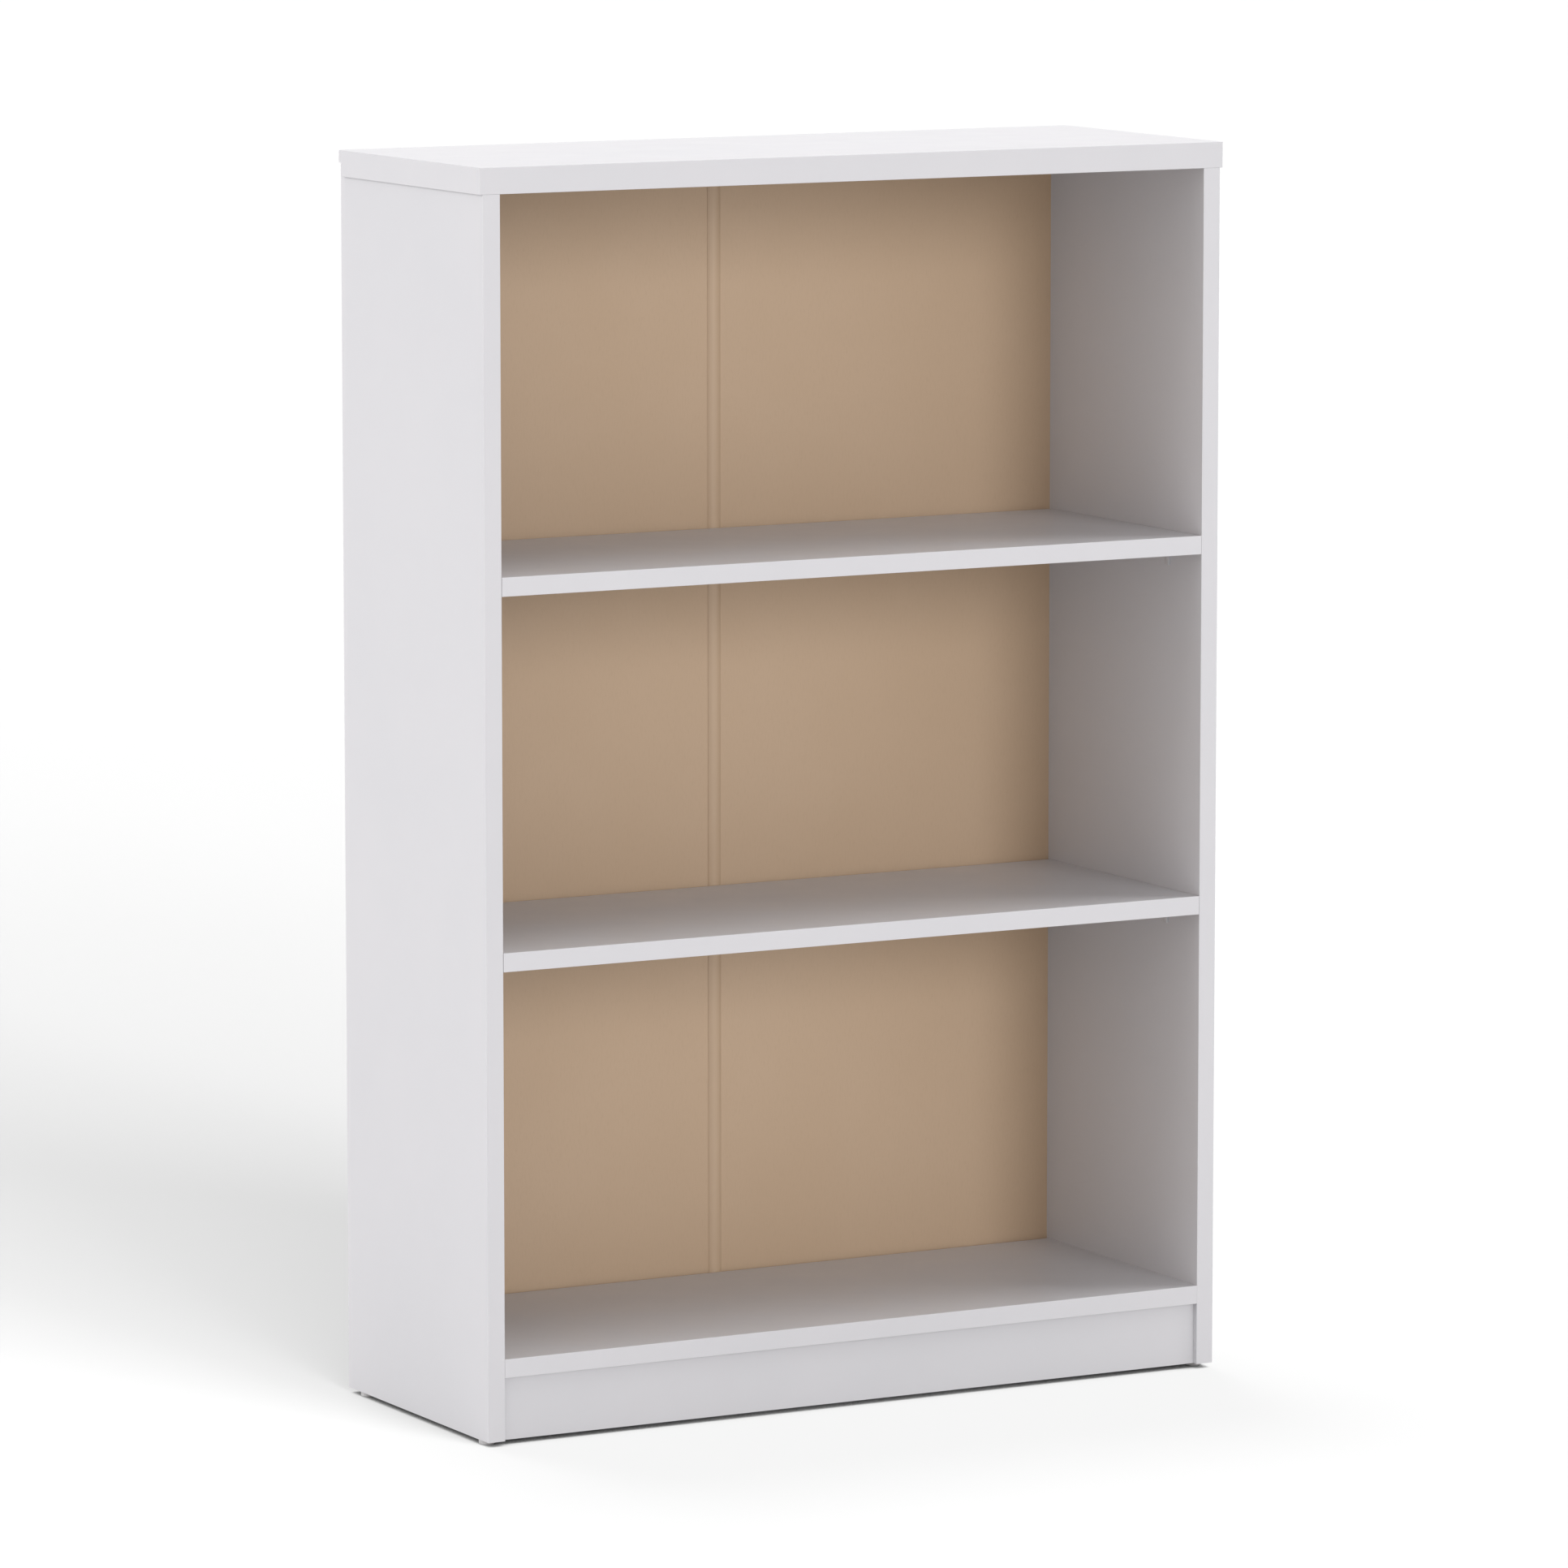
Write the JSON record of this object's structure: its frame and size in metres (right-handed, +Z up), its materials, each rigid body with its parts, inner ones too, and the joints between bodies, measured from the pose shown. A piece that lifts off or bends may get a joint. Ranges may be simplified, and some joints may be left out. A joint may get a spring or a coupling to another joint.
{
  "type": "open bookcase",
  "caption": "Upright open bookcase in pale laminated board, with loose shelves on small angle supports, a set-back plinth and a tan back joined down the middle.",
  "frame": {"origin": "on the floor below the middle of the case, at the height of the glides' feet", "axes": "+Z up, -Y towards the open front, +X to the right as seen from the front"},
  "size_m": [0.8, 0.3, 1.2],
  "materials": {
    "pale_board": "matt melamine",
    "pale_edge_band": "satin edge band",
    "tan_back_board": "matt",
    "tan_strip": "satin",
    "support_steel": "pale lacquer",
    "glide_plastic": "moulded",
    "dowel_wood": "bare beech",
    "screw_steel": "zinc plated",
    "nail_steel": "bare"
  },
  "bodies": {
    "carcass": {"top_panel": "pale_board", "left_side_panel": "pale_board", "right_side_panel": "pale_board", "bottom_shelf": "pale_board", "plinth": "pale_board", "top_front_edge_band": "pale_edge_band", "top_left_edge_band": "pale_edge_band", "top_right_edge_band": "pale_edge_band", "left_side_edge_band": "pale_edge_band", "right_side_edge_band": "pale_edge_band", "bottom_shelf_edge_band": "pale_edge_band", "left_back_edge_band": "pale_edge_band", "right_back_edge_band": "pale_edge_band", "left_back_panel": "tan_back_board", "right_back_panel": "tan_back_board", "back_joining_strip": "tan_strip", "lower_front_left_shelf_support": "support_steel", "lower_front_right_shelf_support": "support_steel", "lower_rear_left_shelf_support": "support_steel", "lower_rear_right_shelf_support": "support_steel", "upper_front_left_shelf_support": "support_steel", "upper_front_right_shelf_support": "support_steel", "upper_rear_left_shelf_support": "support_steel", "upper_rear_right_shelf_support": "support_steel", "front_left_glide": "glide_plastic", "front_right_glide": "glide_plastic", "rear_left_glide": "glide_plastic", "rear_right_glide": "glide_plastic", "top_dowels": "dowel_wood", "bottom_shelf_dowels": "dowel_wood", "plinth_end_dowels": "dowel_wood", "plinth_top_dowels": "dowel_wood", "side_back_screws": "screw_steel", "top_back_screws": "screw_steel", "glide_nails": "nail_steel"},
    "upper_shelf": {"upper_shelf": "pale_board", "upper_shelf_edge_band": "pale_edge_band"},
    "lower_shelf": {"lower_shelf": "pale_board", "lower_shelf_edge_band": "pale_edge_band"}
  },
  "joints": [
    {"name": "upper_shelf_slide", "type": "slide", "parent": "carcass", "child": "upper_shelf", "axis": [0, -1, 0], "range_m": [0, 0.3]},
    {"name": "lower_shelf_slide", "type": "slide", "parent": "carcass", "child": "lower_shelf", "axis": [0, -1, 0], "range_m": [0, 0.3]}
  ]
}
